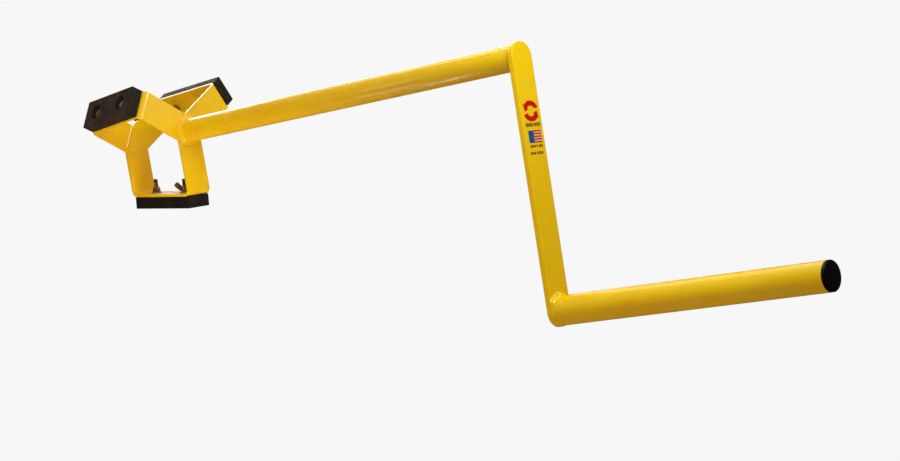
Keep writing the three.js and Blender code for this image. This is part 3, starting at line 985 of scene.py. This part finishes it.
def floor_material():
    """Pale and matt, dimmer in reflections, clear from below, fading with distance into the backdrop."""
    s = Shader("pale_floor")
    s.tree.nodes.remove(s.base)

    def either(factor, first, second):
        blend = s.node("ShaderNodeMixShader", Fac=factor)
        s.feed(blend.inputs[1], first)
        s.feed(blend.inputs[2], second)
        return blend.outputs["Shader"]

    under_crank = s.node("ShaderNodeMapping", Vector=s.place, Location=(-0.6, 0, 0)).outputs["Vector"]
    length = s.node("ShaderNodeVectorMath", {"operation": "LENGTH"}, Vector=under_crank)
    path = s.node("ShaderNodeLightPath").outputs
    faded = s.span(length.outputs["Value"], 0.6, 2.2, 0.65, 1.0)
    tone = s.mix(path["Is Glossy Ray"], (0.38, 0.36, 0.33, 1), (0.05, 0.045, 0.04, 1))
    matt = s.node("ShaderNodeBsdfDiffuse", Color=tone).outputs["BSDF"]
    backdrop = s.node("ShaderNodeEmission", Color=BACKDROP).outputs["Emission"]
    above = either(s.math("MULTIPLY", path["Is Camera Ray"], faded), matt, backdrop)
    below = s.node("ShaderNodeBsdfTransparent").outputs["BSDF"]
    surface = either(s.node("ShaderNodeNewGeometry").outputs["Backfacing"], above, below)
    s.feed(s.tree.nodes["Material Output"].inputs["Surface"], surface)
    return s.material


def stage():
    """A wide pale floor well below the crank."""
    size, z = FLOOR_HALF_SIZE, CAD_BOX[0].z - FLOOR_DROP
    corners = [(-size, -size, z), (size, -size, z), (size, size, z), (-size, size, z)]
    mesh = bpy.data.meshes.new("floor")
    mesh.from_pydata(corners, [], [(0, 1, 2, 3)])
    mesh.materials.append(floor_material())
    floor = bpy.data.objects.new("floor", mesh)
    bpy.context.scene.collection.objects.link(floor)


def studio():
    """Soft light from all round, dimmer where the paint reflects it, behind an even pale backdrop."""
    world = bpy.data.worlds.new("studio")
    bpy.context.scene.world = world
    world.use_nodes = True
    tree = world.node_tree
    tree.nodes.clear()
    up = height_of_sky(tree)
    path = tree.nodes.new("ShaderNodeLightPath").outputs
    lighting = sky(tree, sky_ramp(tree, up, LIT_BY))
    reflected = sky(tree, sky_ramp(tree, up, REFLECTED))
    shown = sky_mix(tree, path["Is Glossy Ray"], lighting, reflected)
    shown = sky_mix(tree, path["Is Camera Ray"], shown, sky(tree, BACKDROP))
    output = tree.nodes.new("ShaderNodeOutputWorld")
    tree.links.new(shown, output.inputs["Surface"])


def height_of_sky(tree):
    """0 straight down, 0.5 at the horizon and 1 straight up."""
    split = tree.nodes.new("ShaderNodeSeparateXYZ")
    direction = tree.nodes.new("ShaderNodeTexCoord").outputs["Generated"]
    tree.links.new(direction, split.inputs["Vector"])
    height = tree.nodes.new("ShaderNodeMapRange")
    tree.links.new(split.outputs["Z"], height.inputs["Value"])
    height.inputs["From Min"].default_value = -1
    return height.outputs["Result"]


def sky_ramp(tree, height, stops):
    node = tree.nodes.new("ShaderNodeValToRGB")
    elements = node.color_ramp.elements
    for (position, color), element in zip(stops, [elements[0], elements[1]]):
        element.position = position
        element.color = color
    for position, color in stops[2:]:
        elements.new(position).color = color
    tree.links.new(height, node.inputs["Fac"])
    return node.outputs["Color"]


def sky(tree, color):
    node = tree.nodes.new("ShaderNodeBackground")
    if isinstance(color, bpy.types.NodeSocket):
        tree.links.new(color, node.inputs["Color"])
    else:
        node.inputs["Color"].default_value = color
    return node.outputs["Background"]


def sky_mix(tree, factor, first, second):
    node = tree.nodes.new("ShaderNodeMixShader")
    for socket, value in zip(node.inputs, (factor, first, second)):
        tree.links.new(value, socket)
    return node.outputs["Shader"]


def softbox(name, place, aim, size, power, kind="", color=(1, 1, 1)):
    """A rectangular lamp that faces its aim and that the camera doesn't see."""
    data = bpy.data.lights.new(name, "AREA")
    data.shape = "RECTANGLE"
    data.size, data.size_y = size
    data.energy = power
    data.color = color
    lamp = bpy.data.objects.new(name, data)
    bpy.context.scene.collection.objects.link(lamp)
    lamp.location = place
    lamp.rotation_mode = "QUATERNION"
    lamp.rotation_quaternion = (Vector(aim) - Vector(place)).to_track_quat("-Z", "Y")
    lamp.visible_camera = False
    lamp.visible_diffuse = kind != REFLECTED_ONLY
    lamp.visible_glossy = kind != MATT_ONLY


def lights():
    everything, arm_top = (0.6, 0, 0), (ARM[1].x, 0, 0)
    softbox("overhead", (1.20, -0.60, 2.2), (0.5, 0, -0.1), (2.0, 2.0), 7, color=(1, 0.62, 0.5))
    softbox("arm_key", (1.38, -0.28, 0.52), arm_top, (0.35, 0.35), 4.2, color=(0.38, 1, 0.3))
    softbox("arm_spot", (1.20, -0.20, 0.15), arm_top, (0.2, 0.2), 0.95)
    head_lights((0.02, -0.03, 0))
    softbox(
        "floor_bounce", (0.60, -0.20, -0.85), everything, (1.4, 1.0), 1.75, MATT_ONLY, (1, 0.85, 0.6),
    )
    reflected_cards((1.2, 0, HANDLE_DROP))


def head_lights(head):
    softbox("head_rear", (0.80, 0.50, 0.35), (0.1, 0, 0), (0.4, 0.4), 1.55)
    softbox("head_left", (0.20, -0.50, 0.05), head, (0.2, 0.2), 0.32)
    softbox("head_low", (0.35, -0.15, -0.45), head, (0.2, 0.2), 0.9)
    softbox("head_side", (0.16, -0.35, -0.40), head, (0.2, 0.2), 0.35)


def reflected_cards(handle):
    """Cards that draw bright lines on round tubes and turned edges."""
    softbox("rim_card", (-1.0, 1.35, 0.85), (0.35, 0, 0), (1.0, 0.8), 6.7, REFLECTED_ONLY)
    softbox("edge_card", (-0.42, 0.30, 0.47), (0.08, 0.05, 0.04), (0.3, 0.3), 1.7, REFLECTED_ONLY)
    softbox("seam_card", (0.68, 0.13, 0.28), (0, -0.01, 0), (0.13, 0.13), 1.6, REFLECTED_ONLY)
    softbox("arm_card", (-0.25, 0.35, 1.1), (0.8, 0, 0), (0.35, 0.5), 1.2, REFLECTED_ONLY)
    softbox("handle_card", (0.35, 0.40, 1.05), handle, (0.6, 0.8), 1.75, REFLECTED_ONLY)


def camera():
    """A long lens from beyond the handle and to its -Y side, level with the arm and rolled clockwise."""
    data = bpy.data.cameras.new("camera")
    data.sensor_width = 36
    data.lens = 93.9
    data.clip_end = 200
    cam = bpy.data.objects.new("camera", data)
    bpy.context.scene.collection.objects.link(cam)
    pitch, roll, heading = 90.659, 8.748, 40.638
    cam.location = (3.0539, -2.7695, -0.2818)
    cam.rotation_euler = [math.radians(angle) for angle in (pitch, roll, heading)]
    bpy.context.scene.camera = cam


def build():
    for bracket in HEAD:
        head_bracket(bracket)
        rubber_pad(bracket)
    centre_plate("nose_filler_plate", 0.0)
    centre_plate("rear_filler_plate", HEAD_LENGTH - STRIP_THICKNESS)
    seam_weld("nose_seam_bead", STRIP_THICKNESS, 1)
    seam_weld("rear_seam_bead", HEAD_LENGTH - STRIP_THICKNESS, -1)
    fasteners()
    tube("spindle_round", SPINDLE, SPINDLE_RADIUS, 0)
    tube("handle_round", HANDLE, HANDLE_RADIUS, HANDLE_DROP)
    crank_arm()
    fillet_weld(
        "head_fillet", "spindle_head_weld", HEAD_LENGTH, 1, SPINDLE_RADIUS, leg=7 * MM, scale=5 * MM,
    )
    fillet_weld(
        "arm_fillet", "spindle_arm_weld", ARM[0].x, -1, SPINDLE_RADIUS, leg=3 * MM, scale=2.7 * MM,
    )
    fillet_weld(
        "handle_fillet", "handle_arm_weld", ARM[1].x, 1, HANDLE_RADIUS, leg=6.8 * MM, scale=4.2 * MM,
        z=HANDLE_DROP, reach=arm_reach,
    )
    end_plug()
    labels()


bpy.context.scene.view_settings.view_transform = "Standard"
camera()
studio()
lights()
stage()
build()
